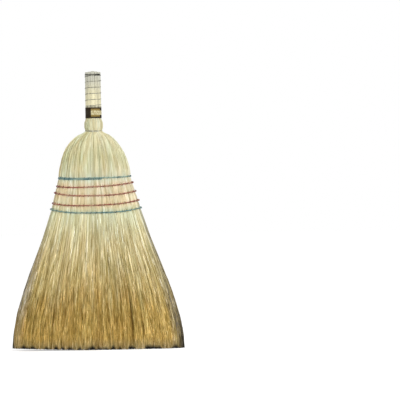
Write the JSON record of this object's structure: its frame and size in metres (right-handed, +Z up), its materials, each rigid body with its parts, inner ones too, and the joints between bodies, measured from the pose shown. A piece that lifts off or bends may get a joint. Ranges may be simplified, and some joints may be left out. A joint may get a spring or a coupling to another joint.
{
  "type": "handleless broom",
  "caption": "Flat sorghum broom without a handle: wired stalk grip, label band, round neck, and a wide fan of fibre sewn with rows of twine.",
  "frame": {"origin": "middle of the broom's box at the level of its trimmed tips", "axes": "+Z up along the broom from the sweeping edge to the grip's cut end, +X to the right across the fan, -Y out of the front face"},
  "size_m": [0.3576, 0.0682, 0.58],
  "materials": {
    "stalk": "pale dry sorghum stalk, matt",
    "straw": "dry sorghum fibre, pale at the neck and golden brown at the tips",
    "blue_twine": "twisted twine, teal blue",
    "red_twine": "twisted twine, brick red",
    "wire": "dull galvanised wire",
    "label": "plain paper band with dark edges"
  },
  "bodies": {
    "root": {"brush_back_1": "straw", "brush_back_2": "straw", "brush_back_3": "straw", "brush_back_4": "straw", "brush_back_5": "straw", "brush_core_1": "straw", "brush_core_2": "straw", "brush_core_3": "straw", "brush_core_4": "straw", "brush_core_5": "straw", "brush_core_6": "straw", "brush_front_1": "straw", "brush_front_2": "straw", "brush_front_3": "straw", "brush_front_4": "straw", "brush_front_5": "straw", "brush_shoulder_left": "straw", "brush_shoulder_right": "straw", "grip_wire": "wire", "label_band": "label", "neck_wire": "wire", "stalk_centre": "stalk", "stalk_inner_1": "stalk", "stalk_inner_2": "stalk", "stalk_inner_3": "stalk", "stalk_inner_4": "stalk", "stalk_inner_5": "stalk", "stalk_inner_6": "stalk", "stalk_outer_01": "stalk", "stalk_outer_02": "stalk", "stalk_outer_03": "stalk", "stalk_outer_04": "stalk", "stalk_outer_05": "stalk", "stalk_outer_06": "stalk", "stalk_outer_07": "stalk", "stalk_outer_08": "stalk", "stalk_outer_09": "stalk", "stalk_outer_10": "stalk", "stalk_outer_11": "stalk", "stalk_outer_12": "stalk", "stitch_row_1_blue": "blue_twine", "stitch_row_2_red": "red_twine", "stitch_row_3_red": "red_twine", "stitch_row_4_red": "red_twine", "stitch_row_5_blue": "blue_twine"}
  },
  "joints": []
}
